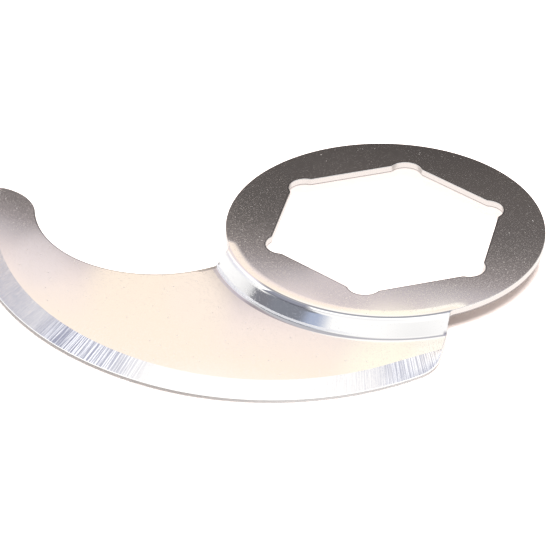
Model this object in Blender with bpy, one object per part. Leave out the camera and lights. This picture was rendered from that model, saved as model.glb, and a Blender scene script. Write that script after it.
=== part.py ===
"""Sickle blade of a food processor, cut, pressed and ground from one stainless sheet.

A flat ring with a hexagonal drive hole steps down, along a curved joggle, into
a flat sickle blade. The blade has a hollow inner side, a rounded nose at the
tip, and one wide bevel ground on its upper side along the outer cutting edge.

The model is made in the order of the real work. The pressed section is lofted
round the hub axis, the outline of the blank and the drive hole trim it, and a
wedge that follows the cutting edge grinds the bevel.

Metres, +Z up. The origin is on the hub axis at the underside of the ring, and
the blade's tip lies towards -X. Angles are counter-clockwise from +X.
"""

import math

import bmesh
import bpy
from mathutils import Vector

# Sheet and ring
SHEET = 0.0020
HUB_ACROSS_FLATS = 0.0600
RING_WIDTH = 0.0150

# Relief notch in each corner of the drive hole
NOTCH_RADIUS = 0.0047
NOTCH_DEPTH = 0.0004
NOTCH_ROUND = 0.0012

# Joggle between the ring and the blade, and the gentle roll that leads into it
STEP_DROP = 0.0040
STEP_ANGLE = math.radians(48)
BEND_RADIUS = 0.0006
PRESS_LINE = 0.0002
ROLL_WIDTH = 0.0032
ROLL_ANGLE = math.radians(4)
ROLL_FADE = math.radians(6)

# Hollow inner side of the sickle, and the nose that ends it
THROAT_OFFSET = 0.0216
THROAT_ANGLE = math.radians(178)
THROAT_RADIUS = 0.0351
THROAT_FILLET = 0.0035
NOSE_ANGLE = math.radians(197.7)
NOSE_RADIUS = 0.0151
TIP_ROUND = 0.0010

# Cutting edge: a flatter arc to the tip, and a tighter arc to the heel
EDGE_CENTRE_X = -0.0317
EDGE_CENTRE_Y = -0.0061
HEEL_ARC_RADIUS = 0.0767
TIP_ARC_RADIUS = 0.0906
ARC_CHANGE = math.radians(257.5)

# Straight heel side, with its outer corner and its fillet to the ring
HEEL_X = 0.0254
HEEL_ROUND = 0.0120
HEEL_FILLET = 0.0020

# Ground bevel
BEVEL_WIDTH = 0.0066
EDGE_LAND = 0.0004
GRIND_LEAVES = math.radians(309)

# Fineness of the facets: no arc strays further than the chord error, or turns further at once
CHORD_ERROR = 0.00001
FACET_TURN = math.radians(9)
SECTION_STEP = math.radians(2.5)
ROLL_FACETS = 3

# Faces that meet at more than this angle keep a crisp edge between them
CRISP_ANGLE = math.radians(12)

# How far a cutter runs past what it cuts
OVERRUN = 0.0050
WEDGE_OVERLAP = 0.0005

STEEL_COLOUR = (0.62, 0.59, 0.57, 1.0)
STEEL_ROUGHNESS = 0.24

HUB = Vector((0.0, 0.0))
FULL_TURN = 2 * math.pi
RING_RADIUS = HUB_ACROSS_FLATS / 2 + RING_WIDTH
PRESS_RADIUS = RING_RADIUS + PRESS_LINE
BLADE_TOP = SHEET - STEP_DROP
BLADE_BOTTOM = -STEP_DROP


def polar(radius, angle):
    return Vector((radius * math.cos(angle), radius * math.sin(angle)))


def heading(vector):
    """Direction of a plan vector, from 0 to a full turn."""
    return math.atan2(vector.y, vector.x) % FULL_TURN


def turned(point, angle):
    return polar(point.length, heading(point) + angle)


def arc(centre, radius, start, end):
    """Points along an arc, as many as its fineness needs."""
    facet = min(2 * math.acos(1 - CHORD_ERROR / radius), FACET_TURN)
    count = max(2, math.ceil(abs(end - start) / facet))
    return [centre + polar(radius, start + (end - start) * i / count) for i in range(count + 1)]


def circles_meet(centre_a, radius_a, centre_b, radius_b):
    """Where two circles cross, on the left of the line from a to b."""
    forward = (centre_b - centre_a).normalized()
    apart = (centre_b - centre_a).length
    along = (apart**2 + radius_a**2 - radius_b**2) / (2 * apart)
    across = math.sqrt(radius_a**2 - along**2)
    return centre_a + along * forward + across * Vector((-forward.y, forward.x))


def closed_loop(runs):
    """One loop of points from runs that meet end to end, each meeting point kept once."""
    loop = []
    for point in (point for run in runs for point in run):
        if not loop or (point - loop[-1]).length > CHORD_ERROR:
            loop.append(point)
    if (loop[0] - loop[-1]).length <= CHORD_ERROR:
        loop.pop()
    return loop


def edge_centres():
    """Centres of the heel arc and the tip arc, which run smoothly into each other."""
    heel_arc = Vector((EDGE_CENTRE_X, EDGE_CENTRE_Y))
    return heel_arc, heel_arc - polar(TIP_ARC_RADIUS - HEEL_ARC_RADIUS, ARC_CHANGE)


def throat_to_tip():
    """Centres of the throat's arc, the nose's arc and the small round at the tip."""
    _, tip_arc = edge_centres()
    throat = polar(RING_RADIUS + THROAT_OFFSET, THROAT_ANGLE)
    nose = throat + polar(THROAT_RADIUS + NOSE_RADIUS, NOSE_ANGLE)
    tip = circles_meet(nose, NOSE_RADIUS - TIP_ROUND, tip_arc, TIP_ARC_RADIUS - TIP_ROUND)
    return throat, nose, tip


def blank_outline():
    """Outer edge of the blank, counter-clockwise from the heel side of the ring."""
    heel_arc, tip_arc = edge_centres()
    throat, nose, tip = throat_to_tip()
    throat_fillet = circles_meet(
        HUB, RING_RADIUS + THROAT_FILLET, throat, THROAT_RADIUS - THROAT_FILLET
    )
    corner_x = HEEL_X - HEEL_ROUND
    corner_depth = math.sqrt((HEEL_ARC_RADIUS - HEEL_ROUND) ** 2 - (corner_x - heel_arc.x) ** 2)
    corner = Vector((corner_x, heel_arc.y - corner_depth))
    fillet_x = HEEL_X + HEEL_FILLET
    heel_fillet = Vector((fillet_x, -math.sqrt((RING_RADIUS + HEEL_FILLET) ** 2 - fillet_x**2)))

    ring_start = heading(heel_fillet) - FULL_TURN
    ring_end = heading(throat_fillet)
    throat_start = heading(throat_fillet - throat) - FULL_TURN
    nose_end = heading(tip - nose)
    edge_start = heading(tip - tip_arc)
    edge_end = heading(corner - heel_arc)
    return closed_loop(
        [
            arc(HUB, RING_RADIUS, ring_start, ring_end),
            arc(throat_fillet, THROAT_FILLET, ring_end - math.pi, throat_start),
            arc(throat, THROAT_RADIUS, throat_start, NOSE_ANGLE - FULL_TURN),
            arc(nose, NOSE_RADIUS, NOSE_ANGLE - math.pi, nose_end),
            arc(tip, TIP_ROUND, nose_end, edge_start),
            arc(tip_arc, TIP_ARC_RADIUS, edge_start, ARC_CHANGE),
            arc(heel_arc, HEEL_ARC_RADIUS, ARC_CHANGE, edge_end),
            arc(corner, HEEL_ROUND, edge_end, FULL_TURN),
            arc(heel_fillet, HEEL_FILLET, math.pi, ring_start + math.pi),
        ]
    )


def drive_hole_outline():
    """Hexagon with flats towards +X and -X, and a rounded relief notch in each corner."""
    half = math.pi / 6
    flat = HUB_ACROSS_FLATS / 2
    notch = Vector((flat / math.cos(half) + NOTCH_DEPTH - NOTCH_RADIUS, 0.0))
    out = flat + NOTCH_ROUND
    short_of_notch = math.sqrt(
        (NOTCH_RADIUS + NOTCH_ROUND) ** 2 - (out - notch.x * math.cos(half)) ** 2
    )
    along = notch.x * math.sin(half) - short_of_notch
    entry = out * polar(1, -half) + along * polar(1, math.pi / 2 - half)
    leave = Vector((entry.x, -entry.y))
    start = heading(entry - notch) - FULL_TURN
    runs = []
    for side in range(6):
        turn = (2 * side + 1) * half
        runs.append(
            arc(turned(entry, turn), NOTCH_ROUND, turn + math.pi - half, turn + start + math.pi)
        )
        runs.append(arc(turned(notch, turn), NOTCH_RADIUS, turn + start, turn - start))
        runs.append(
            arc(turned(leave, turn), NOTCH_ROUND, turn - start - math.pi, turn + half - math.pi)
        )
    return closed_loop(runs)


def pressed_line():
    """Upper line of the section as (radius, drop, slope): first the roll, then the joggle."""
    roll_radius = ROLL_WIDTH / math.sin(ROLL_ANGLE)
    outer_radius = BEND_RADIUS + SHEET
    curved_drop = (
        roll_radius * (1 - math.cos(ROLL_ANGLE))
        + outer_radius * (math.cos(ROLL_ANGLE) - math.cos(STEP_ANGLE))
        + BEND_RADIUS * (1 - math.cos(STEP_ANGLE))
    )
    wall_drop = STEP_DROP - curved_drop

    def bend(station, radius, slope_to, facets):
        start_radius, start_drop, slope_from = station
        stations = []
        for i in range(1, facets + 1):
            slope = slope_from + (slope_to - slope_from) * i / facets
            run = radius * abs(math.sin(slope) - math.sin(slope_from))
            drop = radius * abs(math.cos(slope) - math.cos(slope_from))
            stations.append((start_radius + run, start_drop + drop, slope))
        return stations

    roll_start = (PRESS_RADIUS - ROLL_WIDTH, 0.0, 0.0)
    roll = [roll_start] + bend(roll_start, roll_radius, ROLL_ANGLE, ROLL_FACETS)
    bend_facets = math.ceil((STEP_ANGLE - ROLL_ANGLE) / FACET_TURN)
    joggle = bend(roll[-1], outer_radius, STEP_ANGLE, bend_facets)
    wall_start, wall_top, _ = joggle[-1]
    wall_run = wall_drop / math.tan(STEP_ANGLE)
    joggle.append((wall_start + wall_run, wall_top + wall_drop, STEP_ANGLE))
    joggle += bend(joggle[-1], BEND_RADIUS, 0.0, math.ceil(STEP_ANGLE / FACET_TURN))
    return roll, joggle


def roll_share(angle):
    """How far the roll has formed at an angle: fully along the joggle, not at all far from it."""
    apart = RING_RADIUS + THROAT_OFFSET
    beside = (apart**2 + RING_RADIUS**2 - THROAT_RADIUS**2) / (2 * apart * RING_RADIUS)
    joggle_start = THROAT_ANGLE + math.acos(beside)
    joggle_end = FULL_TURN - math.acos(HEEL_X / RING_RADIUS)
    outside = max(joggle_start - angle, angle - joggle_end, 0.0)
    share = max(1 - outside / ROLL_FADE, 0.0)
    return share * share * (3 - 2 * share)


def pressed_section(angle, roll, joggle, reach):
    """Closed section of the sheet at one angle, as (radius, height) pairs."""
    inside_hub = HUB_ACROSS_FLATS / 2 - OVERRUN
    upper = [(inside_hub, SHEET)]
    lower = [(inside_hub, 0.0)]
    for stations, share in ((roll, roll_share(angle)), (joggle, 1.0)):
        for radius, drop, slope in stations:
            across, down = SHEET * math.sin(slope), SHEET * math.cos(slope)
            upper.append((radius, SHEET - share * drop))
            lower.append((radius - share * across, share * (SHEET - drop - down)))
    upper.append((reach, BLADE_TOP))
    lower.append((reach, BLADE_BOTTOM))
    return lower + upper[::-1]


def loft(name, rings, closed):
    """Solid through rings of points: round and back to the first, or with its two ends capped."""
    shape = bmesh.new()
    rows = [[shape.verts.new(point) for point in ring] for ring in rings]
    for row, following in zip(rows, rows[1:] + rows[:1] if closed else rows[1:]):
        for i, _ in enumerate(row):
            previous = i - 1
            shape.faces.new((row[previous], row[i], following[i], following[previous]))
    if not closed:
        shape.faces.new(rows[0])
        shape.faces.new(rows[-1][::-1])
    bmesh.ops.recalc_face_normals(shape, faces=shape.faces)
    return finished(name, shape)


def finished(name, shape):
    mesh = bpy.data.meshes.new(name)
    shape.to_mesh(mesh)
    shape.free()
    body = bpy.data.objects.new(name, mesh)
    bpy.context.scene.collection.objects.link(body)
    return body


def pressed_sheet(reach):
    """The whole sheet after the press, as a disc with the joggle in its own sector."""
    roll, joggle = pressed_line()
    count = round(FULL_TURN / SECTION_STEP)
    rings = []
    for i in range(count):
        angle = FULL_TURN * i / count
        section = pressed_section(angle, roll, joggle, reach)
        rings.append([(*polar(radius, angle), height) for radius, height in section])
    return loft("cutter_blade", rings, closed=True)


def punch(name, outline):
    """Upright prism over a plan outline, taller than the part."""
    low, high = BLADE_BOTTOM - OVERRUN, SHEET + OVERRUN
    rings = [[(*point, height) for point in outline] for height in (low, high)]
    return loft(name, rings, closed=False)


def grinding_wedge():
    """Wedge that follows the cutting edge and takes off all that lies above the bevel."""
    heel_arc, tip_arc = edge_centres()
    _, _, tip = throat_to_tip()
    steepness = (SHEET - EDGE_LAND) / BEVEL_WIDTH
    rise = steepness * WEDGE_OVERLAP
    section = (
        (BEVEL_WIDTH + WEDGE_OVERLAP, BLADE_TOP + rise),
        (-WEDGE_OVERLAP, BLADE_BOTTOM + EDGE_LAND - rise),
        (-WEDGE_OVERLAP, BLADE_TOP + OVERRUN),
        (BEVEL_WIDTH + WEDGE_OVERLAP, BLADE_TOP + OVERRUN),
    )
    before_tip = heading(tip - tip_arc) - NOSE_RADIUS / TIP_ARC_RADIUS
    stations = [
        (point, (point - tip_arc).normalized())
        for point in arc(tip_arc, TIP_ARC_RADIUS, before_tip, ARC_CHANGE)
    ]
    stations += [
        (point, (point - heel_arc).normalized())
        for point in arc(heel_arc, HEEL_ARC_RADIUS, ARC_CHANGE, GRIND_LEAVES)[1:]
    ]
    last, outward = stations[-1]
    forward = Vector((-outward.y, outward.x))
    straight_run = (HEEL_X + OVERRUN - last.x) / forward.x
    stations.append((last + straight_run * forward, outward))
    rings = [
        [(*(point - inward * out), height) for inward, height in section]
        for point, out in stations
    ]
    return loft("grinding_wedge", rings, closed=False)


def cut(body, cutter, operation):
    """Boolean with a cutter, which is applied at once and takes the cutter away."""
    boolean = body.modifiers.new(cutter.name, "BOOLEAN")
    boolean.operation = operation
    boolean.object = cutter
    bpy.context.view_layer.objects.active = body
    bpy.ops.object.modifier_apply(modifier=boolean.name)
    bpy.data.objects.remove(cutter)


def dress(body):
    """Close up slivers shorter than the chord error, and shade the round faces smooth."""
    shape = bmesh.new()
    shape.from_mesh(body.data)
    bmesh.ops.dissolve_degenerate(shape, dist=CHORD_ERROR, edges=shape.edges)
    shape.to_mesh(body.data)
    shape.free()
    body.data.shade_smooth()
    body.data.set_sharp_from_angle(angle=CRISP_ANGLE)


def stainless():
    steel = bpy.data.materials.new("stainless_steel")
    steel.use_nodes = True
    shader = steel.node_tree.nodes["Principled BSDF"]
    shader.inputs["Base Color"].default_value = STEEL_COLOUR
    shader.inputs["Metallic"].default_value = 1.0
    shader.inputs["Roughness"].default_value = STEEL_ROUGHNESS
    return steel


def build():
    for stale in list(bpy.data.objects):
        bpy.data.objects.remove(stale)
    outline = blank_outline()
    reach = max(point.length for point in outline) + OVERRUN
    blade = pressed_sheet(reach)
    blade.data.materials.append(stainless())
    cut(blade, punch("blanking_punch", outline), "INTERSECT")
    cut(blade, punch("drive_hole_punch", drive_hole_outline()), "DIFFERENCE")
    cut(blade, grinding_wedge(), "DIFFERENCE")
    dress(blade)


build()
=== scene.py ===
# %% [markdown]
# # A food processor's sickle blade
#
# The real blade starts as a flat strip of stainless steel. A press cuts its outline and pierces a
# hexagonal hole, the edges are broken, a second press steps the ring up from the blade, and a wheel
# grinds one long bevel along the outer edge. This lesson follows the same order: draw, pierce, break
# the edges, press, grind, and then the finishes and the studio. The CAD model comes in first, as a
# fixed frame that gives the size and the place.

# %% Load the frame
import math

import bmesh
import bpy
from mathutils import Matrix, Vector


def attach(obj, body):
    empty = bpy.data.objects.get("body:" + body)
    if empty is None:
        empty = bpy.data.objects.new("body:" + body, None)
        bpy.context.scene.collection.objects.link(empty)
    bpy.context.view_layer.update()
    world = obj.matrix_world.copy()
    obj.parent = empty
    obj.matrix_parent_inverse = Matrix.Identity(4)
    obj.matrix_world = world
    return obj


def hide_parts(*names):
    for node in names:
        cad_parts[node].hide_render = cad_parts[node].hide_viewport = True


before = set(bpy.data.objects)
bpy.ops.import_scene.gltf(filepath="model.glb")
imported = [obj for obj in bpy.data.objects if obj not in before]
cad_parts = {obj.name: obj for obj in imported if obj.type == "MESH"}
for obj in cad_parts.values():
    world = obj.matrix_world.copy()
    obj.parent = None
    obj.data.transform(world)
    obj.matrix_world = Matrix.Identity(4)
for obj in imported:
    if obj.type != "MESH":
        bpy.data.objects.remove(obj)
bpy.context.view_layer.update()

MM = 0.001

# %% [markdown]
# ## Drawing with arcs
#
# The outline is nothing but arcs that run into each other. Points could be worked out one by one, but
# the Spin operator does what a compass does: it sweeps a single vertex round a centre and leaves
# edges behind it. So each outline is one vertex, spun from arc to arc. The number of steps keeps every
# facet within a few thousandths of a millimetre of the true arc.

# %% Compass helpers
FULL_TURN = 2 * math.pi
CHORD_ERROR = 0.004 * MM
FACET_TURN = math.radians(4)
SAME_POINT = 0.002 * MM


def polar(radius, angle):
    return Vector((radius * math.cos(angle), radius * math.sin(angle)))


def heading(vector):
    return math.atan2(vector.y, vector.x) % FULL_TURN


def turned(point, angle):
    return polar(point.length, heading(point) + angle)


def arc_steps(radius, sweep):
    facet = min(2 * math.acos(1 - CHORD_ERROR / radius), FACET_TURN)
    return max(2, math.ceil(abs(sweep) / facet))


print("a circle of 45 mm radius takes", arc_steps(45 * MM, FULL_TURN), "steps")

# %% A pencil for the arcs


def pencil(name, point, height):
    """A new object that is a single vertex, left in edit mode."""
    bpy.ops.object.select_all(action="DESELECT")
    bpy.ops.mesh.primitive_plane_add(size=MM)
    drawing = bpy.context.object
    drawing.name = drawing.data.name = name
    bpy.ops.object.mode_set(mode="EDIT")
    bpy.ops.mesh.select_all(action="SELECT")
    bpy.ops.mesh.merge(type="CENTER")
    bpy.ops.transform.translate(value=(point.x, point.y, height))
    return drawing


def draw_arcs(name, runs, height):
    """Draw arcs (centre, radius, start, end) with one pencil; gaps between them become lines."""
    centre, radius, start, _ = runs[0]
    here = centre + polar(radius, start)
    drawing = pencil(name, here, height)
    for centre, radius, start, end in runs:
        line = centre + polar(radius, start) - here
        if line.length > SAME_POINT:
            bpy.ops.mesh.extrude_region_move(TRANSFORM_OT_translate={"value": (*line, 0)})
        bpy.ops.mesh.spin(
            steps=arc_steps(radius, end - start),
            angle=start - end,
            center=(*centre, height),
            axis=(0, 0, 1),
        )
        here = centre + polar(radius, end)
    bpy.ops.mesh.select_all(action="SELECT")
    bpy.ops.mesh.remove_doubles(threshold=SAME_POINT)
    return drawing


def plate(name, runs, low, high):
    """Fill a drawn loop and pull it up into a plate."""
    drawing = draw_arcs(name, runs, low)
    bpy.ops.mesh.edge_face_add()
    bpy.ops.mesh.extrude_region_move(TRANSFORM_OT_translate={"value": (0, 0, high - low)})
    bpy.ops.mesh.select_all(action="SELECT")
    bpy.ops.mesh.normals_make_consistent(inside=False)
    bpy.ops.object.mode_set(mode="OBJECT")
    return drawing


# %% A gauge


def measured(piece, stage):
    shape = bmesh.new()
    shape.from_mesh(piece.data)
    volume = shape.calc_volume(signed=True) / MM**3
    open_edges = sum(not edge.is_manifold for edge in shape.edges)
    print(f"{stage}: {len(shape.faces)} faces, {volume:.0f} mm3, {open_edges} open edges")
    shape.free()


# %% [markdown]
# ## The blank
#
# The blank is the flat piece as it leaves the first press, so everything in it can be drawn in plan: a
# round ring, the hollow inner side of the sickle, its rounded nose, a cutting edge in two arcs that
# share a tangent, and a straight heel. Only radii and a few centres are given. The small fillets and
# the round at the tip touch two neighbours each, so their centres lie where two circles cross.

# %% Sizes of the blank
SHEET = 2.0 * MM
RING_RADIUS = 45.0 * MM
HUB_FLAT = 30.0 * MM

THROAT_RADIUS = 35.1 * MM
THROAT_FILLET = 3.5 * MM
NOSE_RADIUS = 15.1 * MM
NOSE_ANGLE = math.radians(197.7)
TIP_ROUND = 1.0 * MM
HEEL_ARC_RADIUS = 76.7 * MM
TIP_ARC_RADIUS = 90.6 * MM
ARC_CHANGE = math.radians(257.5)
HEEL_X = 25.4 * MM
HEEL_ROUND = 12.0 * MM
HEEL_FILLET = 2.0 * MM

HUB = Vector((0.0, 0.0))
THROAT = polar(66.6 * MM, math.radians(178))
HEEL_ARC = Vector((-31.7, -6.1)) * MM
TIP_ARC = HEEL_ARC - polar(TIP_ARC_RADIUS - HEEL_ARC_RADIUS, ARC_CHANGE)


def circles_meet(centre_a, radius_a, centre_b, radius_b):
    """Where two circles cross, on the left of the line from a to b."""
    forward = (centre_b - centre_a).normalized()
    apart = (centre_b - centre_a).length
    along = (apart**2 + radius_a**2 - radius_b**2) / (2 * apart)
    across = math.sqrt(radius_a**2 - along**2)
    return centre_a + along * forward + across * Vector((-forward.y, forward.x))


print("the tip's arc is centred at", [round(value / MM, 1) for value in TIP_ARC], "mm")

# %% Outline of the blank
nose = THROAT + polar(THROAT_RADIUS + NOSE_RADIUS, NOSE_ANGLE)
tip = circles_meet(nose, NOSE_RADIUS - TIP_ROUND, TIP_ARC, TIP_ARC_RADIUS - TIP_ROUND)
throat_fillet = circles_meet(
    HUB, RING_RADIUS + THROAT_FILLET, THROAT, THROAT_RADIUS - THROAT_FILLET
)
corner_x = HEEL_X - HEEL_ROUND
corner_drop = math.sqrt((HEEL_ARC_RADIUS - HEEL_ROUND) ** 2 - (corner_x - HEEL_ARC.x) ** 2)
corner = Vector((corner_x, HEEL_ARC.y - corner_drop))
fillet_x = HEEL_X + HEEL_FILLET
heel_fillet = Vector((fillet_x, -math.sqrt((RING_RADIUS + HEEL_FILLET) ** 2 - fillet_x**2)))

ring_start = heading(heel_fillet) - FULL_TURN
ring_end = heading(throat_fillet)
throat_start = heading(throat_fillet - THROAT) - FULL_TURN
nose_end = heading(tip - nose)
edge_start = heading(tip - TIP_ARC)
edge_end = heading(corner - HEEL_ARC)
blank_runs = [
    (HUB, RING_RADIUS, ring_start, ring_end),
    (throat_fillet, THROAT_FILLET, ring_end - math.pi, throat_start),
    (THROAT, THROAT_RADIUS, throat_start, NOSE_ANGLE - FULL_TURN),
    (nose, NOSE_RADIUS, NOSE_ANGLE - math.pi, nose_end),
    (tip, TIP_ROUND, nose_end, edge_start),
    (TIP_ARC, TIP_ARC_RADIUS, edge_start, ARC_CHANGE),
    (HEEL_ARC, HEEL_ARC_RADIUS, ARC_CHANGE, edge_end),
    (corner, HEEL_ROUND, edge_end, FULL_TURN),
    (heel_fillet, HEEL_FILLET, math.pi, ring_start + math.pi),
]
blade = plate("sickle_blade", blank_runs, 0.0, SHEET)
measured(blade, "blank")

# %% [markdown]
# ## The drive hole
#
# The hub is a hexagon, and each corner of the hole has a round relief notch, so that a hub with sharp
# corners still seats on the flats. The hole could be drawn into the blank before it is filled, but a
# face can't have a hole without seams across it. So a punch is drawn with the same compass, three arcs
# to a corner, and the lines between the corners fill in by themselves. A modifier takes the punch away
# from the blank, and is applied at once.

# %% Pierce the hexagon
NOTCH_RADIUS = 4.7 * MM
NOTCH_DEPTH = 0.4 * MM
NOTCH_ROUND = 1.2 * MM
PUNCH_OVERRUN = 1.0 * MM


def cut(piece, cutter, material_mode="INDEX"):
    """Take a cutter away from a piece, then throw the cutter away."""
    boolean = piece.modifiers.new("cut", "BOOLEAN")
    boolean.operation = "DIFFERENCE"
    boolean.object = cutter
    boolean.material_mode = material_mode
    bpy.context.view_layer.objects.active = piece
    bpy.ops.object.modifier_apply(modifier=boolean.name)
    bpy.data.objects.remove(cutter)


sixth = math.pi / 6
notch = Vector((HUB_FLAT / math.cos(sixth) + NOTCH_DEPTH - NOTCH_RADIUS, 0.0))
round_out = HUB_FLAT + NOTCH_ROUND
short_of_notch = math.sqrt(
    (NOTCH_RADIUS + NOTCH_ROUND) ** 2 - (round_out - notch.x * math.cos(sixth)) ** 2
)
entry = round_out * polar(1, -sixth)
entry += (notch.x * math.sin(sixth) - short_of_notch) * polar(1, math.pi / 2 - sixth)
leave = Vector((entry.x, -entry.y))
notch_start = heading(entry - notch) - FULL_TURN
hexagon_runs = []
for side in range(6):
    turn = (2 * side + 1) * sixth
    hexagon_runs += [
        (turned(entry, turn), NOTCH_ROUND, turn + math.pi - sixth, turn + notch_start + math.pi),
        (turned(notch, turn), NOTCH_RADIUS, turn + notch_start, turn - notch_start),
        (turned(leave, turn), NOTCH_ROUND, turn - notch_start - math.pi, turn + sixth - math.pi),
    ]
punch = plate("drive_hole_punch", hexagon_runs, -PUNCH_OVERRUN, SHEET + PUNCH_OVERRUN)
cut(blade, punch)
measured(blade, "pierced")

# %% [markdown]
# ## Breaking the edges
#
# A punched edge is never a knife's edge: tumbling leaves a fifth of a millimetre of round on it, and
# that thin round is what catches the light. Shading alone could fake it, but not the outline that it
# gives. It goes on while the piece is still flat, because now every rim is a clean loop with nothing
# running into it. The walls are given their own material slot first, and the bevel widens it, so the
# sheared walls can later look different from the rolled faces.

# %% Slots for the finishes, and the edge break
EDGE_BREAK = 0.2 * MM
EDGE_SEGMENTS = 8
RIM_ANGLE = math.radians(40)
LEVEL = 0.5
ROLLED, SHEARED, GROUND = "rolled_steel", "sheared_steel", "ground_steel"
finishes = {name: bpy.data.materials.new(name) for name in (ROLLED, SHEARED, GROUND)}
blade.data.materials.append(finishes[ROLLED])
blade.data.materials.append(finishes[SHEARED])
for face in blade.data.polygons:
    face.material_index = 0 if abs(face.normal.z) > LEVEL else 1

bevel = blade.modifiers.new("edge_break", "BEVEL")
bevel.width = EDGE_BREAK
bevel.segments = EDGE_SEGMENTS
bevel.limit_method = "ANGLE"
bevel.angle_limit = RIM_ANGLE
bevel.material = 1
bpy.ops.object.modifier_apply(modifier=bevel.name)
measured(blade, "edges broken")

# %% [markdown]
# ## Lines to bend along
#
# The press steps the sheet down along the ring's edge. Cut through, the step is a gentle roll, an outer
# bend, a straight wall at 48 degrees, and an inner bend at the foot. A curve could be bevelled along the
# ring instead, but then the step would be a piece of its own. Here it is a rule, which gives the drop
# and the slope of the sheet at any distance from the hub, and it will bend the flat plate itself. Each
# bend is an arc, so the rule follows sine and cosine.

# %% Section of the step
STEP_DROP = 4.0 * MM
STEP_ANGLE = math.radians(48)
BEND_RADIUS = 0.6 * MM
OUTER_BEND = BEND_RADIUS + SHEET
PRESS_RADIUS = RING_RADIUS + 0.2 * MM
ROLL_WIDTH = 3.2 * MM
ROLL_ANGLE = math.radians(4)
ROLL_RADIUS = ROLL_WIDTH / math.sin(ROLL_ANGLE)
ROLL_START = PRESS_RADIUS - ROLL_WIDTH
BEND_END = PRESS_RADIUS + OUTER_BEND * (math.sin(STEP_ANGLE) - math.sin(ROLL_ANGLE))
roll_drop = ROLL_RADIUS * (1 - math.cos(ROLL_ANGLE))
bend_drop = roll_drop + OUTER_BEND * (math.cos(ROLL_ANGLE) - math.cos(STEP_ANGLE))
wall_drop = STEP_DROP - bend_drop - BEND_RADIUS * (1 - math.cos(STEP_ANGLE))
WALL_END = BEND_END + wall_drop / math.tan(STEP_ANGLE)
FOOT_END = WALL_END + BEND_RADIUS * math.sin(STEP_ANGLE)


def pressed(radius):
    """Drop and slope of the sheet's upper face, at a distance from the hub's axis."""
    if radius <= ROLL_START:
        return 0.0, 0.0
    if radius <= PRESS_RADIUS:
        slope = math.asin((radius - ROLL_START) / ROLL_RADIUS)
        return ROLL_RADIUS * (1 - math.cos(slope)), slope
    if radius <= BEND_END:
        slope = math.asin(math.sin(ROLL_ANGLE) + (radius - PRESS_RADIUS) / OUTER_BEND)
        return roll_drop + OUTER_BEND * (math.cos(ROLL_ANGLE) - math.cos(slope)), slope
    if radius <= WALL_END:
        return bend_drop + (radius - BEND_END) * math.tan(STEP_ANGLE), STEP_ANGLE
    if radius <= FOOT_END:
        slope = math.asin((FOOT_END - radius) / BEND_RADIUS)
        return STEP_DROP - BEND_RADIUS * (1 - math.cos(slope)), slope
    return STEP_DROP, 0.0


print("wall from", round(BEND_END / MM, 2), "to", round(WALL_END / MM, 2), "mm")

# %% [markdown]
# ### A cutter for the bend lines
#
# A flat face can't bend: it needs edges where the press will fold it. The step follows the ring, so the
# edges have to be a fan of circles and spokes, close together in the bends and nowhere else. The fan is
# drawn as one line outwards, spun round the hub, and pulled up into a set of thin walls like a pastry
# cutter.

# %% The pastry cutter
ROLL_LINES, BEND_LINES = 8, 14
SPOKE_STEP = math.radians(1.5)
FAN_START, FAN_END = math.radians(192), math.radians(316.5)


def slopes(start, end, count):
    return [start + (end - start) * i / count for i in range(1, count + 1)]


rows = [ROLL_START]
rows += [ROLL_START + ROLL_RADIUS * math.sin(s) for s in slopes(0, ROLL_ANGLE, ROLL_LINES)]
rows += [
    PRESS_RADIUS + OUTER_BEND * (math.sin(s) - math.sin(ROLL_ANGLE))
    for s in slopes(ROLL_ANGLE, STEP_ANGLE, BEND_LINES)
]
rows.append(WALL_END)
rows += [FOOT_END - BEND_RADIUS * math.sin(s) for s in slopes(STEP_ANGLE, 0, BEND_LINES)]

cutter = pencil("bend_lines", polar(rows[0], FAN_START), -PUNCH_OVERRUN)
for row, following in zip(rows, rows[1:]):
    line = polar(following - row, FAN_START)
    bpy.ops.mesh.extrude_region_move(TRANSFORM_OT_translate={"value": (*line, 0)})
bpy.ops.mesh.select_all(action="SELECT")
bpy.ops.mesh.spin(
    steps=round((FAN_END - FAN_START) / SPOKE_STEP),
    angle=FAN_START - FAN_END,
    center=(0, 0, -PUNCH_OVERRUN),
    axis=(0, 0, 1),
)
bpy.ops.mesh.select_all(action="SELECT")
wall_height = SHEET + 2 * PUNCH_OVERRUN
bpy.ops.mesh.extrude_edges_move(TRANSFORM_OT_translate={"value": (0, 0, wall_height)})
fan = bmesh.from_edit_mesh(cutter.data)
for face in fan.faces:
    face.select_set(abs(face.normal.z) > LEVEL)
bmesh.update_edit_mesh(cutter.data)
bpy.ops.mesh.delete(type="ONLY_FACE")
bpy.ops.object.mode_set(mode="OBJECT")
print("bend lines:", len(rows), "circles")

# %% [markdown]
# ### Score the plate
#
# Intersect (Knife) presses the cutter into the plate, and leaves an edge wherever the two meet. It works
# on one mesh, so cutter and plate are joined first. The cutter keeps its own material slot, and by that
# slot what is left of it is found again and deleted.

# %% Press the cutter into the plate
cutter_slot = bpy.data.materials.new("cutter")
cutter.data.materials.append(cutter_slot)
bpy.ops.object.select_all(action="DESELECT")
cutter.select_set(True)
blade.select_set(True)
bpy.context.view_layer.objects.active = blade
bpy.ops.object.join()
cutter_index = list(blade.data.materials).index(cutter_slot)


def select_cutter():
    shape = bmesh.from_edit_mesh(blade.data)
    for vertex in shape.verts:
        vertex.select_set(False)
    shape.select_flush(False)
    for face in shape.faces:
        face.select_set(face.material_index == cutter_index)
    bmesh.update_edit_mesh(blade.data)


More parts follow.
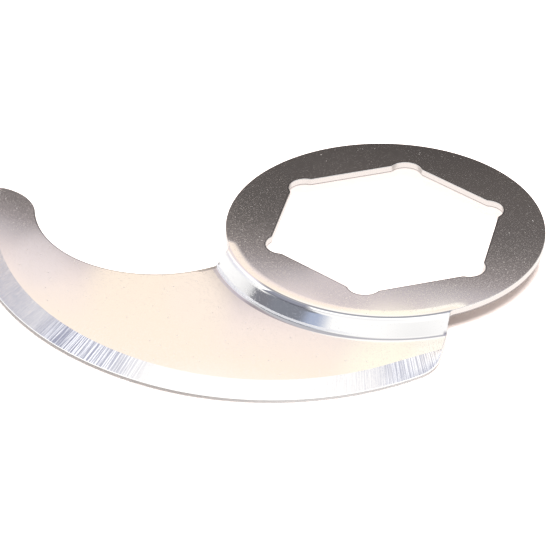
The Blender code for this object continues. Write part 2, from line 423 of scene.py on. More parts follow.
bpy.ops.object.mode_set(mode="EDIT")
bpy.ops.mesh.select_mode(type="FACE")
select_cutter()
bpy.ops.mesh.intersect(mode="SELECT_UNSELECT", separate_mode="NONE", solver="EXACT")
select_cutter()
bpy.ops.mesh.delete(type="FACE")
bpy.ops.mesh.select_mode(type="VERT")
bpy.ops.object.mode_set(mode="OBJECT")
blade.data.materials.pop(index=cutter_index)
measured(blade, "cut along the bend lines")

# %% [markdown]
# ## The press
#
# Pressing moves every point of the plate by one rule. A lattice could push the sheet down too, but it
# would thin the wall. Here the point keeps its depth below the upper face, and that depth is now
# measured square to the bent sheet, so the walls lean as they do on a real pressing and the thickness
# stays the same all through the bends. The roll belongs to the step, and so it fades out within six
# degrees past either end of it, where the ring's rim is free.

# %% Press the step
ROLL_FADE = math.radians(6)
STEP_START = heading(circles_meet(HUB, RING_RADIUS, THROAT, THROAT_RADIUS))
STEP_END = FULL_TURN - math.acos(HEEL_X / RING_RADIUS)


def roll_share(angle):
    outside = max(STEP_START - angle, angle - STEP_END, 0.0)
    share = max(1 - outside / ROLL_FADE, 0.0)
    return share * share * (3 - 2 * share)


for vertex in blade.data.vertices:
    plan = vertex.co.xy
    drop, slope = pressed(plan.length)
    if plan.length <= PRESS_RADIUS:
        share = roll_share(heading(plan))
        drop, slope = share * drop, share * slope
    depth = SHEET - vertex.co.z
    pulled_in = plan - depth * math.sin(slope) * plan.normalized()
    vertex.co = (*pulled_in, SHEET - drop - depth * math.cos(slope))
measured(blade, "pressed")

# %% [markdown]
# ## The ground bevel
#
# One bevel runs the whole length of the cutting edge. The edge's points could be pulled down one by
# one, but a grinding wheel leaves a flat wedge there, and so a wedge is taken away. The cutter is the
# section of that wedge, spun round the centres of the same two arcs as the edge, and pulled straight on
# over the heel's corner, where the wheel leaves the blade. Transfer brings the cutter's material along,
# so the bevel gets its own finish for nothing.

# %% Section of the grinding wedge
BEVEL_WIDTH = 6.6 * MM
EDGE_LAND = 0.4 * MM
GRIND_LEAVES = math.radians(309)
WEDGE_OVERLAP = 0.5 * MM
WEDGE_HEIGHT = 5.0 * MM
GRIND_STEP = math.radians(0.5)
GRIND_RUN_OUT = 20.0 * MM
BLADE_TOP = SHEET - STEP_DROP

before_tip = edge_start - NOSE_RADIUS / TIP_ARC_RADIUS
rise = (SHEET - EDGE_LAND) / BEVEL_WIDTH * WEDGE_OVERLAP
out_near = polar(TIP_ARC_RADIUS - BEVEL_WIDTH - WEDGE_OVERLAP, before_tip)
out_far = polar(TIP_ARC_RADIUS + WEDGE_OVERLAP, before_tip)
section = [
    (*(TIP_ARC + out_near), BLADE_TOP + rise),
    (*(TIP_ARC + out_far), -STEP_DROP + EDGE_LAND - rise),
    (*(TIP_ARC + out_far), BLADE_TOP + WEDGE_HEIGHT),
    (*(TIP_ARC + out_near), BLADE_TOP + WEDGE_HEIGHT),
]
print("bevel angle:", round(math.degrees(math.atan((SHEET - EDGE_LAND) / BEVEL_WIDTH)), 1), "degrees")

# %% Spin the wedge and cut with it
first, *others = [Vector(point) for point in section]
wedge = pencil("grinding_wedge", first.xy, first.z)
here = first
for point in others:
    bpy.ops.mesh.extrude_region_move(TRANSFORM_OT_translate={"value": point - here})
    here = point
bpy.ops.mesh.select_all(action="SELECT")
bpy.ops.mesh.edge_face_add()
for centre, start, end in (
    (TIP_ARC, before_tip, ARC_CHANGE),
    (HEEL_ARC, ARC_CHANGE, GRIND_LEAVES),
):
    bpy.ops.mesh.spin(
        steps=math.ceil((end - start) / GRIND_STEP),
        angle=start - end,
        center=(*centre, 0),
        axis=(0, 0, 1),
    )
straight = GRIND_RUN_OUT * polar(1, GRIND_LEAVES + math.pi / 2)
bpy.ops.mesh.extrude_region_move(TRANSFORM_OT_translate={"value": (*straight, 0)})
bpy.ops.mesh.select_all(action="SELECT")
bpy.ops.mesh.remove_doubles(threshold=SAME_POINT)
bpy.ops.mesh.normals_make_consistent(inside=False)
bpy.ops.object.mode_set(mode="OBJECT")
wedge.data.materials.append(finishes[GROUND])
measured(wedge, "wedge")
cut(blade, wedge, material_mode="TRANSFER")
measured(blade, "ground")

# %% [markdown]
# ## Clean shading
#
# Smooth shading averages the normals of the faces that meet at a vertex, which would smear the bevel's
# crease and tilt the light on the big flats. So every edge that folds more sharply than one facet of a
# round is marked sharp, and a Weighted Normal modifier lets the large faces win, which keeps the flats
# truly flat up to the start of each round.

# %% Shade the blade
CREASE = math.radians(13)
SLIVER = 0.001 * MM
FLATS_WIN = 100
bpy.ops.object.select_all(action="DESELECT")
blade.select_set(True)
bpy.context.view_layer.objects.active = blade
bpy.ops.object.mode_set(mode="EDIT")
bpy.ops.mesh.select_all(action="SELECT")
bpy.ops.mesh.dissolve_degenerate(threshold=SLIVER)
bpy.ops.object.mode_set(mode="OBJECT")
bpy.ops.object.shade_smooth_by_angle(angle=CREASE)
weighted = blade.modifiers.new("weighted_normals", "WEIGHTED_NORMAL")
weighted.mode = "FACE_AREA"
weighted.weight = FLATS_WIN
weighted.keep_sharp = True
bpy.ops.object.modifier_apply(modifier=weighted.name)
measured(blade, "finished blade")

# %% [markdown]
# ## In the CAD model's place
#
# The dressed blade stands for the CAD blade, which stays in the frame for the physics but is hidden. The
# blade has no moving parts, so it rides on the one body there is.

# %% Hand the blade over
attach(blade, "root")
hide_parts("cutter_blade")
print("cutter_blade is dressed by", blade.name)

# %% [markdown]
# ## Shader sums
#
# A finish is easier to read as a formula than as a tangle of nodes. The small class below wraps one
# output socket, so that plus, minus, times and divide add Math nodes. The workbench holds the nodes of
# one finish, and adds any other node from its type, its settings and its sockets.

# %% A class for shader sums


class Wire:
    """An output socket that can stand in a sum."""

    def __init__(self, socket):
        self.socket = socket

    def joined(self, operation, first, second):
        node = self.socket.id_data.nodes.new("ShaderNodeMath")
        node.operation = operation
        plug(node.inputs[0], first)
        plug(node.inputs[1], second)
        return Wire(node.outputs[0])

    def __add__(self, other):
        return self.joined("ADD", self, other)

    def __radd__(self, other):
        return self.joined("ADD", other, self)

    def __sub__(self, other):
        return self.joined("SUBTRACT", self, other)

    def __rsub__(self, other):
        return self.joined("SUBTRACT", other, self)

    def __mul__(self, other):
        return self.joined("MULTIPLY", self, other)

    def __truediv__(self, other):
        return self.joined("DIVIDE", self, other)


def plug(inlet, term):
    """Give an inlet a link or a plain value."""
    if isinstance(term, Wire):
        inlet.id_data.links.new(term.socket, inlet)
    else:
        inlet.default_value = term


# %% A workbench for one finish


class Workbench:
    """The nodes of one finish, light card or sky."""

    def __init__(self, owner):
        owner.use_nodes = True
        self.name = owner.name
        self.tree = owner.node_tree
        self.tree.nodes.clear()

    def node(self, kind, settings, sockets, output=0):
        node = self.tree.nodes.new(kind)
        for name, value in settings.items():
            if name == "stops":
                ramp = node.color_ramp.elements
                while len(ramp) < len(value):
                    ramp.new(1.0)
                for stop, (position, colour) in zip(ramp, value):
                    stop.position = position
                    stop.color = colour
            else:
                setattr(node, name, value)
        for name, term in sockets.items():
            plug(node.inputs[name], term)
        return Wire(node.outputs[output]) if node.outputs else None

    def report(self):
        print(f"{self.name}: {len(self.tree.nodes)} nodes")


# %% [markdown]
# ## Marks of every kind
#
# All three finishes are the same stainless steel, worked in three ways, so they share one colour and one
# shader, Principled at full metallic. What tells them apart is fine relief, roughness and tone, and
# several of the tones are painted highlights and painted shade. Marks could be painted by hand on a
# picture that wraps the blade, but here each is a mask from 0 to 1, made from a distance: a fade between
# two distances, or a soft line at one. Object coordinates are in metres, so every size and depth below
# is the real size of the mark.

# %% Steel, and helpers for its marks
STEEL = (0.74, 0.72, 0.705)
OBJECT_PLACE = 3


def place(bench):
    return bench.node("ShaderNodeTexCoord", {}, {}, output=OBJECT_PLACE)


def axis(bench, vector, index):
    return bench.node("ShaderNodeSeparateXYZ", {}, {"Vector": vector}, output=index)


def maths(bench, operation, *terms):
    return bench.node("ShaderNodeMath", {"operation": operation}, dict(enumerate(terms)))


def vectors(bench, operation, *terms, output=0):
    settings = {"operation": operation}
    return bench.node("ShaderNodeVectorMath", settings, dict(enumerate(terms)), output)


def mix(bench, share, low, high):
    """Blend two colours by a share."""
    low, high = [(*tone, 1.0) if isinstance(tone, tuple) else tone for tone in (low, high)]
    sockets = {"Factor": share, 6: low, 7: high}
    return bench.node("ShaderNodeMix", {"data_type": "RGBA"}, sockets, output=2)


# %% Masks
IN_PLAN = (1, 1, 0)


def noise(bench, vector, scale, detail, coarseness):
    sockets = {"Vector": vector, "Scale": scale, "Detail": detail, "Roughness": coarseness}
    return bench.node("ShaderNodeTexNoise", {}, sockets)


def fade(bench, value, start, end):
    """0 at start, 1 at end, with a soft run between them."""
    sockets = {"Value": value, "From Min": start, "From Max": end}
    return bench.node("ShaderNodeMapRange", {"interpolation_type": "SMOOTHSTEP"}, sockets)


def stripe(bench, value, centre, width):
    """A soft line where a value passes its centre."""
    return fade(bench, maths(bench, "ABSOLUTE", value - centre), width, width / 2)


def distance(bench, spot, centre):
    """How far a point lies from an upright axis through centre."""
    arm = vectors(bench, "SUBTRACT", spot, (*centre, 0))
    arm = vectors(bench, "MULTIPLY", arm, IN_PLAN)
    return vectors(bench, "LENGTH", arm, output=1)


# %% The shader that ends each finish


def finish(bench, roughness, height, depth, colour):
    relief = bench.node("ShaderNodeBump", {}, {"Height": height, "Distance": depth})
    sockets = {"Base Color": colour, "Metallic": 1.0, "Roughness": roughness, "Normal": relief}
    shader = bench.node("ShaderNodeBsdfPrincipled", {}, sockets)
    bench.node("ShaderNodeOutputMaterial", {}, {"Surface": shader})
    bench.report()


# %% [markdown]
# ## Rolled faces
#
# The ring and the flat of the blade are the face of the sheet as it came from the rolling mill: smooth
# enough to mirror the room softly, with a fine even grain and a few tiny pits that scatter the light
# and show as bright specks. Noise at half a millimetre makes the grain. The pits are the middles of a
# few cells of a cell pattern, picked by the random colour that each cell has. A picture of real steel
# would do the same, but it would show its pixels up close, and this doesn't.

# %% Grain and pits
GRAIN = 2400
PIT_CELLS = 900
PIT_SIZE = 0.13
PIT_SLOPE = 1.6
PIT_SHARE = 0.80

bench = Workbench(finishes[ROLLED])
spot = place(bench)
grain = noise(bench, spot, GRAIN, 2.0, 0.6)
nearest = {"feature": "F1", "distance": "EUCLIDEAN"}
cells = {"Vector": spot, "Scale": PIT_CELLS}
cell_distance = bench.node("ShaderNodeTexVoronoi", nearest, cells)
cell_colour = bench.node("ShaderNodeTexVoronoi", nearest, cells, output=1)
luck = bench.node("ShaderNodeSeparateColor", {}, {"Color": cell_colour})
pit = fade(bench, cell_distance, PIT_SIZE * PIT_SLOPE, PIT_SIZE)
pit = pit * fade(bench, luck, PIT_SHARE, 1.0)
print(f"grain {1 / GRAIN / MM:.2f} mm, one cell in {1 / (1 - PIT_SHARE):.0f} has a pit")

# %% [markdown]
# ### Dark lines along the step
#
# Two thin dark lines follow the step: one along the crest of its outer bend, and one in the crease at
# its foot, where it is painted shade. Both are faint near the throat and dark further on. Edges of the
# mesh could carry them as a second material, but then their ends would be hard. They follow circles
# round the hub, so the distance from the hub's axis draws them, and the angle round the hub says how
# dark they are.

# %% Crest line and painted foot shade
CREST_WIDTH = 0.45 * MM
FOOT_BACK = 0.15 * MM
FOOT_RISE = 0.25 * MM
FOOT_ENTRY = 0.1 * MM
FOOT_NARROW = 0.8 * MM
FOOT_BROAD = 0.4 * MM
OFF_THROAT_FROM, OFF_THROAT_FULL = math.radians(-133), math.radians(-124)
HEEL_SIDE, THROAT_SIDE = math.radians(-80), math.radians(-100)

from_hub = distance(bench, spot, HUB)
angle = maths(bench, "ARCTAN2", axis(bench, spot, 1), axis(bench, spot, 0))
off_throat = fade(bench, angle, OFF_THROAT_FROM, OFF_THROAT_FULL)
throat_side = fade(bench, angle, HEEL_SIDE, THROAT_SIDE)
crest = stripe(bench, from_hub, PRESS_RADIUS, CREST_WIDTH)
foot_start = throat_side * (WALL_END - FOOT_END + FOOT_RISE) + FOOT_END - FOOT_BACK
# The foot line is painted shade in the crease at the foot of the step.
foot = fade(bench, from_hub - foot_start, -FOOT_ENTRY, FOOT_BACK)
foot_out = from_hub - throat_side * FOOT_BROAD
foot = foot * fade(bench, foot_out, FOOT_END + FOOT_NARROW, FOOT_END + FOOT_BROAD)
print("crest line at", round(PRESS_RADIUS / MM, 2), "mm, foot line at", round(FOOT_END / MM, 2), "mm")

# %% [markdown]
# ### The wall of the step
#
# From the crest down the wall, the step is painted brighter than the sheet: a painted highlight. Part of
# the bend above the wall carries a painted dark reflection of the room: a patch, tall at its middle and
# narrow at both ends. Low on the wall runs one thin painted highlight line, on the throat's side. At the
# heel, where the shear and the press meet, a small dark burr is left. Each of these is a product of
# fades, one for each side of the mark.

# %% Painted wall highlight, dark reflection, highlight line and burr
WALL_HIGHLIGHT_START = PRESS_RADIUS + 0.3 * MM
WALL_HIGHLIGHT_FULL = PRESS_RADIUS + 0.8 * MM
DARK_REFLECTION_MIDDLE = math.radians(-114)
DARK_REFLECTION_LEVEL = math.radians(7)
DARK_REFLECTION_CLIMB = 13.0 * MM
DARK_REFLECTION_TOP = PRESS_RADIUS + 0.1 * MM
DARK_REFLECTION_EDGE = 0.2 * MM
DARK_REFLECTION_LOW = BEND_END - 0.3 * MM
DARK_REFLECTION_LOW_FULL = BEND_END - 0.55 * MM
THROAT_EDGE, THROAT_FULL = math.radians(-132), math.radians(-128)
MIDDLE_EDGE, MIDDLE_FULL = math.radians(-102), math.radians(-108)
HIGHLIGHT_LINE_AT = WALL_END - 0.26 * MM
HIGHLIGHT_LINE_WIDTH = 0.28 * MM
BURR_PLACE = (25.2 * MM, -43.2 * MM)
BURR_REACH, BURR_CORE = 1.1 * MM, 0.3 * MM

# Painted highlight on the step's outer bend and wall.
wall_highlight = fade(bench, from_hub, WALL_HIGHLIGHT_START, WALL_HIGHLIGHT_FULL) * fade(bench, from_hub, FOOT_END, WALL_END)
off_middle = maths(bench, "ABSOLUTE", angle - DARK_REFLECTION_MIDDLE) - DARK_REFLECTION_LEVEL
off_middle = maths(bench, "MAXIMUM", off_middle, 0.0)
dark_reflection_top = off_middle * DARK_REFLECTION_CLIMB + DARK_REFLECTION_TOP
# Painted dark reflection on the bend above the wall.
dark_reflection = fade(bench, angle, THROAT_EDGE, THROAT_FULL)
dark_reflection = dark_reflection * fade(bench, angle, MIDDLE_EDGE, MIDDLE_FULL)
dark_reflection = dark_reflection * fade(bench, from_hub - dark_reflection_top, 0.0, DARK_REFLECTION_EDGE)
dark_reflection = dark_reflection * fade(bench, from_hub, DARK_REFLECTION_LOW, DARK_REFLECTION_LOW_FULL)
# Painted highlight line low on the wall.
highlight_line = stripe(bench, from_hub, HIGHLIGHT_LINE_AT, HIGHLIGHT_LINE_WIDTH) * throat_side
burr = fade(bench, distance(bench, spot, BURR_PLACE), BURR_REACH, BURR_CORE)
print("highlighted wall from", round(WALL_HIGHLIGHT_START / MM, 2), "to", round(FOOT_END / MM, 2), "mm")

# %% [markdown]
# ### Painted shade along the rims
#
# A narrow band of painted shade runs beside the edges of the hexagonal hole and of the throat, standing
# in for the dark that the rounded edges mirror. The band needs the distance from the nearest edge.
# Folding the plane like a paper snowflake, six times round the hub, leaves one flat and one notch of the
# hexagon to measure from. The throat is one arc, and the nearest of all three is simply the smallest
# distance. Just past the foot of the step the band of painted shade is wider, so its width has a soft
# line of its own.

# %% Distance from the nearest rim
RIM_WIDTH = 0.35 * MM
RIM_EXTRA = 1.0 * MM
RIM_WIDE_AT, RIM_WIDE_RUN = 50.0 * MM, 7.0 * MM

fold = maths(bench, "PINGPONG", angle - sixth, sixth)
past_flat = from_hub * maths(bench, "COSINE", fold - sixth) - HUB_FLAT
folded_x = from_hub * maths(bench, "COSINE", fold)
folded_y = from_hub * maths(bench, "SINE", fold)
folded = bench.node("ShaderNodeCombineXYZ", {}, {"X": folded_x, "Y": folded_y})
past_notch = distance(bench, folded, notch) - NOTCH_RADIUS
past_hole = maths(bench, "MINIMUM", past_flat, past_notch)
past_throat = distance(bench, spot, THROAT) - THROAT_RADIUS
past_step = maths(bench, "MAXIMUM", past_throat, FOOT_END - from_hub)
past_rim = maths(bench, "MINIMUM", past_hole, past_step)
rim_width = stripe(bench, from_hub, RIM_WIDE_AT, RIM_WIDE_RUN) * RIM_EXTRA + RIM_WIDTH
# Painted shade along the rims.
rim = fade(bench, (past_rim - EDGE_BREAK) / rim_width, 1.0, 0.5)
print("rim band:", round(RIM_WIDTH / MM, 2), "to", round((RIM_WIDTH + RIM_EXTRA) / MM, 2), "mm wide")

# %% [markdown]
# ### Put the rolled finish together
#
# Each mark now paints its tone over the one before: the grain first, then the painted highlight on the
# wall, the painted dark reflection, the crest line, the painted shade at the foot, the painted shade
# along the rims, the painted highlight line and the burr. The grain, the pits and the highlight line
# also roughen the surface.

# %% Tones of the rolled faces
GRAIN_DARK, GRAIN_LIGHT = (0.69, 0.67, 0.655), (0.79, 0.77, 0.755)
WALL_HIGHLIGHT = (0.95, 0.945, 0.94)
REFLECTED_DARK = (0.20, 0.205, 0.245)
CREST_FAINT, CREST_DARK = (0.62, 0.61, 0.69), (0.24, 0.245, 0.27)
FOOT_SHADE_FAINT, FOOT_SHADE_DARK = (0.62, 0.61, 0.67), (0.34, 0.335, 0.36)
RIM_SHADE = (0.40, 0.39, 0.39)
LINE_HIGHLIGHT = (0.98, 0.98, 1.0)
BURR_DARK = (0.30, 0.29, 0.34)
CREST_HIDDEN = 0.8

tone = mix(bench, grain, GRAIN_DARK, GRAIN_LIGHT)
# Painted highlight, painted dark reflection, painted shade at the foot and the rims, and a painted
# highlight line.
tone = mix(bench, wall_highlight, tone, WALL_HIGHLIGHT)
tone = mix(bench, dark_reflection, tone, REFLECTED_DARK)
crest_tone = mix(bench, off_throat, CREST_FAINT, CREST_DARK)
tone = mix(bench, crest * (1 - dark_reflection * CREST_HIDDEN), tone, crest_tone)
foot_shade_tone = mix(bench, off_throat, FOOT_SHADE_FAINT, FOOT_SHADE_DARK)
tone = mix(bench, foot, tone, foot_shade_tone)
tone = mix(bench, rim, tone, RIM_SHADE)
tone = mix(bench, highlight_line, tone, LINE_HIGHLIGHT)
tone = mix(bench, burr, tone, BURR_DARK)

# %% Roughness and relief of the rolled faces
ROLLED_ROUGHNESS = 0.04
GRAIN_LOW, GRAIN_HIGH = 0.45, 0.75
GRAIN_ROUGHNESS = 0.2
SPECK_ROUGHNESS = 0.5
WALL_ROUGHNESS = 0.25
ROLLED_DEPTH = 5.0e-7

rolled_roughness = fade(bench, grain, GRAIN_LOW, GRAIN_HIGH) * GRAIN_ROUGHNESS
rolled_roughness = ROLLED_ROUGHNESS + rolled_roughness + (pit + highlight_line) * SPECK_ROUGHNESS
rolled_roughness = rolled_roughness + wall_highlight * (1 - off_throat) * WALL_ROUGHNESS
finish(bench, rolled_roughness, grain, ROLLED_DEPTH, tone)

# %% [markdown]
# ## Sheared walls
#
# Punching leaves the walls of the hole and of the outline with fine upright scores. Along the lower edge
# of the ring's walls runs a thin band of painted shade, which stands in for the contact shadow under it.
# The same noise does for the scores, with its height squeezed by a Mapping node, so that each grain is
# drawn out up the wall. The band of painted shade is two fades in height.

# %% Sheared steel
SCORE = 2600
SCORE_STRETCH = 0.12
LOW_SHADE_TOP, LOW_SHADE_FULL = 0.45 * MM, 0.2 * MM
LOW_SHADE_BELOW, LOW_SHADE_BELOW_FULL = -0.6 * MM, -0.3 * MM
LOW_SHADE_TONE = (0.28, 0.265, 0.265)
SHEARED_ROUGHNESS, SCORE_ROUGHNESS = 0.2, 0.12
SCORE_DEPTH = 5.0e-6

bench = Workbench(finishes[SHEARED])
spot = place(bench)
height = axis(bench, spot, 2)
drawn_out = {"Vector": spot, "Scale": (1.0, 1.0, SCORE_STRETCH)}
score = noise(bench, bench.node("ShaderNodeMapping", {}, drawn_out), SCORE, 3.0, 0.6)
# Painted shade along the lower edge, standing in for a contact shadow.
low_shade = fade(bench, height, LOW_SHADE_TOP, LOW_SHADE_FULL) * fade(bench, height, LOW_SHADE_BELOW, LOW_SHADE_BELOW_FULL)
tone = mix(bench, low_shade, STEEL, LOW_SHADE_TONE)
finish(bench, SHEARED_ROUGHNESS + score * SCORE_ROUGHNESS, score, SCORE_DEPTH, tone)

# %% [markdown]
# ## The ground bevel
#
# The wheel crosses the edge, so its scratches run across the bevel, and as the blade swings past the
# wheel they fan out from one far point. The angle about that point, times the distance, measures along
# the edge, and noise that changes quickly that way and slowly the other way draws the scratches. They
# tip the surface to either side, which spreads every reflection along the edge into bright and dark
# streaks, as on the real bevel.

# %% Scratches across the edge
FAN = (-23.0 * MM, 57.0 * MM)
FAN_RADIUS = 132 * MM
SCRATCH = 2400
STROKE = SCRATCH * 1.3
BAND = SCRATCH / 10
ACROSS = 0.015

bench = Workbench(finishes[GROUND])
spot = place(bench)
sideways = axis(bench, spot, 0) - FAN[0]
below_fan = FAN[1] - axis(bench, spot, 1)
along = maths(bench, "ARCTAN2", sideways, below_fan) * FAN_RADIUS
across = distance(bench, spot, FAN) * ACROSS
fan_place = bench.node("ShaderNodeCombineXYZ", {}, {"X": along, "Y": across})
scratches = noise(bench, fan_place, SCRATCH, 6.0, 0.7)
strokes = noise(bench, fan_place, STROKE, 2.0, 0.6)
bands = noise(bench, fan_place, BAND, 1.0, 0.5)
print(f"scratches {1 / SCRATCH / MM:.2f} mm apart, bands {1 / BAND / MM:.1f} mm wide")

# %% [markdown]
# ### Coarse strokes at both ends
#
# Where the blade comes on to the wheel and where it leaves it, the grit digs deeper and single strokes
# stand out. There the bevel is painted a darker, bluer grey as painted shade, the strokes are painted as
# dark streaks and bright highlights, and near the tip one stretch is painted darker still. Two fades
# along the edge say where the strokes are coarse, and two cuts through the same noise say which of them
# are painted dark and which bright.

# %% Coarse strokes
TIP_END, TIP_END_FULL = -66 * MM, -53 * MM
TIP_STOP, TIP_STOP_FULL = -22 * MM, -44 * MM
HEEL_FROM, HEEL_FULL = 34 * MM, 42 * MM
HEEL_SHARE = 0.6
BAND_SHARE = 0.25
DARK_STREAK_FROM, DARK_STREAK_FULL = 0.64, 0.67
BRIGHT_STREAK_FROM, BRIGHT_STREAK_FULL = 0.61, 0.57
DARK_STRETCH_PLACE, DARK_STRETCH_WIDTH = -46 * MM, 8 * MM

coarse_tip = fade(bench, along, TIP_END, TIP_END_FULL) * fade(bench, along, TIP_STOP, TIP_STOP_FULL)
coarse = coarse_tip + fade(bench, along, HEEL_FROM, HEEL_FULL) * HEEL_SHARE
stroke_depth = strokes + bands * BAND_SHARE
dark_streak = fade(bench, stroke_depth, DARK_STREAK_FROM, DARK_STREAK_FULL) * coarse
bright_streak = fade(bench, stroke_depth, BRIGHT_STREAK_FROM, BRIGHT_STREAK_FULL) * coarse
dark_stretch = stripe(bench, along, DARK_STRETCH_PLACE, DARK_STRETCH_WIDTH) * coarse_tip
print("coarse strokes from", round(TIP_END / MM), "to", round(TIP_STOP / MM), "mm along the edge")

# %% Ground steel
COARSE_SHADE = (0.56, 0.565, 0.61)
DARK_STRETCH = (0.47, 0.475, 0.53)
BRIGHT_STREAK = (0.95, 0.95, 0.97)
DARK_STREAK = (0.34, 0.345, 0.42)
BRIGHT_STREAK_SHARE = 0.75
GROUND_ROUGHNESS = 0.06
SCRATCH_DEPTH = 7.0e-5

# Painted shade at both ends, a darker painted stretch near the tip, and painted bright and dark streaks.
tone = mix(bench, coarse, STEEL, COARSE_SHADE)
tone = mix(bench, dark_stretch, tone, DARK_STRETCH)
tone = mix(bench, bright_streak * BRIGHT_STREAK_SHARE, tone, BRIGHT_STREAK)
tone = mix(bench, dark_streak, tone, DARK_STREAK)
ground_roughness = GROUND_ROUGHNESS + bands * GROUND_ROUGHNESS + scratches * GROUND_ROUGHNESS
finish(bench, ground_roughness, scratches, SCRATCH_DEPTH, tone)

# %% [markdown]
# ## The camera
#
# A long lens about a metre away keeps the near side of the blade only a little larger than the far side.
# The camera could be put at a point and aimed, but the ring's place in the picture is easier to hold
# this way round: first the camera is turned, by swing, tilt and roll, and then it is moved until the
# ring's centre lies where it should in the camera's own axes.

# %% Camera
CAMERA_AZIMUTH = math.radians(12.4)
CAMERA_ELEVATION = math.radians(33.54)
CAMERA_ROLL = math.radians(0.23)
RING_FROM_CAMERA = Vector((31.085, 13.609, -992.9)) * MM
FOCAL_LENGTH = 231.04
SENSOR_WIDTH = 36.0
NEAREST_SEEN = 0.01

camera_data = bpy.data.cameras.new("camera")
camera_data.lens = FOCAL_LENGTH
camera_data.sensor_width = SENSOR_WIDTH
camera_data.clip_start = NEAREST_SEEN
camera = bpy.data.objects.new("camera", camera_data)
bpy.context.scene.collection.objects.link(camera)
swing = Matrix.Rotation(CAMERA_AZIMUTH, 4, "Z")
tilt = Matrix.Rotation(math.pi / 2 - CAMERA_ELEVATION, 4, "X")
roll = Matrix.Rotation(CAMERA_ROLL, 4, "Z")
aim = swing @ tilt @ roll
ring_centre = Vector((0, 0, SHEET))
camera.matrix_world = Matrix.Translation(ring_centre - aim.to_3x3() @ RING_FROM_CAMERA) @ aim
bpy.context.scene.camera = camera
print("camera at", [round(value / MM) for value in camera.matrix_world.translation], "mm")

# %% [markdown]
# ## The light tent
#
# Polished metal shows its surroundings more than itself, so the studio is built for the reflections.
# Large lamps could be placed one by one until each face looks right, but every lamp also lights the
# floor. A tent can be painted instead: a sphere round the blade, turned with the camera. Only glossy
# rays see it, so it is a reflection and nothing else. It shades no floor and hides the blade from no
# camera.

# %% Tent
TENT_RADIUS = 300 * MM
TENT_SEGMENTS = 96
TENT_RINGS = 48

bpy.ops.object.select_all(action="DESELECT")
bpy.ops.mesh.primitive_uv_sphere_add(
    segments=TENT_SEGMENTS, ring_count=TENT_RINGS, radius=TENT_RADIUS, rotation=(0, 0, CAMERA_AZIMUTH)
)
tent = bpy.context.object
tent.name = "light_tent"
tent.visible_camera = False
tent.visible_diffuse = False
tent.visible_transmission = False
tent.visible_shadow = False
print("tent:", round(2 * TENT_RADIUS / MM), "mm across")

# %% [markdown]
# ### Directions
#
# The direction of each point from the tent's middle says where it is, so every part of the paint is
# given by compass angles: azimuth round the blade, elevation above the floor. The dot product of two
# directions is the cosine of the angle between them, so one fade makes a round patch with a soft edge.

# %% Helpers for directions


def toward(azimuth, elevation):
    """A unit vector from compass angles in degrees."""
    flat = polar(math.cos(math.radians(elevation)), math.radians(azimuth))
    return (*flat, math.sin(math.radians(elevation)))


def closeness(bench, way, direction):
    return vectors(bench, "DOT_PRODUCT", way, direction, output=1)


def nearness(bench, way, azimuth, elevation, inner, outer):
    """1 within inner degrees of a direction, 0 beyond outer."""
    edges = [math.cos(math.radians(angle)) for angle in (outer, inner)]
    return fade(bench, closeness(bench, way, toward(azimuth, elevation)), *edges)


def direct(bench):
    """1 for rays that have met only metal on their way."""
    bounces = bench.node("ShaderNodeLightPath", {}, {}, output="Diffuse Depth")
    return 1 - maths(bench, "MINIMUM", bounces, 1.0)


# %% [markdown]
# ### From the dark room to the cloth
#
# Behind the blade the cloth ends well above the floor, and the dark room that shows under it darkens the
# far side of the ring. The cloth's lower edge leans, so dark gives way to cloth along a slanted line,
# first brown and grey, then cream, then white. That run is one colour ramp over the height above the
# edge. White cloth all round would lose the blade against a white floor from the other sides. So white
# stays only in one window, where the bevel mirrors it, and elsewhere the cloth is pale grey.

# %% Ramp and window
EDGE_AZIMUTH = math.radians(80.2)
EDGE_ELEVATION = math.radians(51.6)
RAMP_START = 0.42
RAMP_LENGTH = 0.5
PALE_FROM, PALE_FULL = 0.60, 0.80
PALE = (0.72, 0.715, 0.71)
WINDOW = (110, 60, 25, 33)
ROOM_TO_CLOTH = [
    (0.0, (0.067, 0.060, 0.058, 1)),
    (0.12, (0.108, 0.097, 0.093, 1)),
    (0.20, (0.119, 0.108, 0.106, 1)),
    (0.25, (0.152, 0.139, 0.136, 1)),
    (0.30, (0.238, 0.216, 0.214, 1)),
    (0.33, (0.326, 0.295, 0.303, 1)),
    (0.345, (0.43, 0.40, 0.42, 1)),
    (0.365, (0.505, 0.468, 0.495, 1)),
    (0.39, (0.62, 0.562, 0.578, 1)),
    (0.42, (0.785, 0.70, 0.695, 1)),
    (0.46, (0.90, 0.795, 0.745, 1)),
    (0.55, (0.94, 0.825, 0.706, 1)),
    (0.72, (1.0, 1.0, 1.0, 1)),
]

tent_cloth = bpy.data.materials.new("tent_cloth")
tent.data.materials.append(tent_cloth)
bench = Workbench(tent_cloth)
tent_cloth.cycles.emission_sampling = "NONE"
way = vectors(bench, "NORMALIZE", place(bench))
edge_normal = (*polar(-math.sin(EDGE_ELEVATION), EDGE_AZIMUTH), math.cos(EDGE_ELEVATION))
ramp_place = (closeness(bench, way, edge_normal) + RAMP_START) / RAMP_LENGTH
cloth = bench.node("ShaderNodeValToRGB", {"stops": ROOM_TO_CLOTH}, {"Fac": ramp_place})
pale = fade(bench, ramp_place, PALE_FROM, PALE_FULL) * (1 - nearness(bench, way, *WINDOW))
cloth = mix(bench, pale, cloth, PALE)
print("ramp of", len(ROOM_TO_CLOTH), "stops, window at", WINDOW[:2], "degrees")

# %% [markdown]
# ### Cards
#
# A photographer of cutlery hangs small cards in the tent, one for each face that looks too flat or too
# bright. Every card below is a soft round patch: azimuth, elevation, where its edge starts and where it
# ends in degrees, how strong it is, and its colour. The first group greys the low walls at the front
# and the sides, the second shades the ring and the flat of the blade, and the third the slopes, which
# are the step, its bends and the bevel.

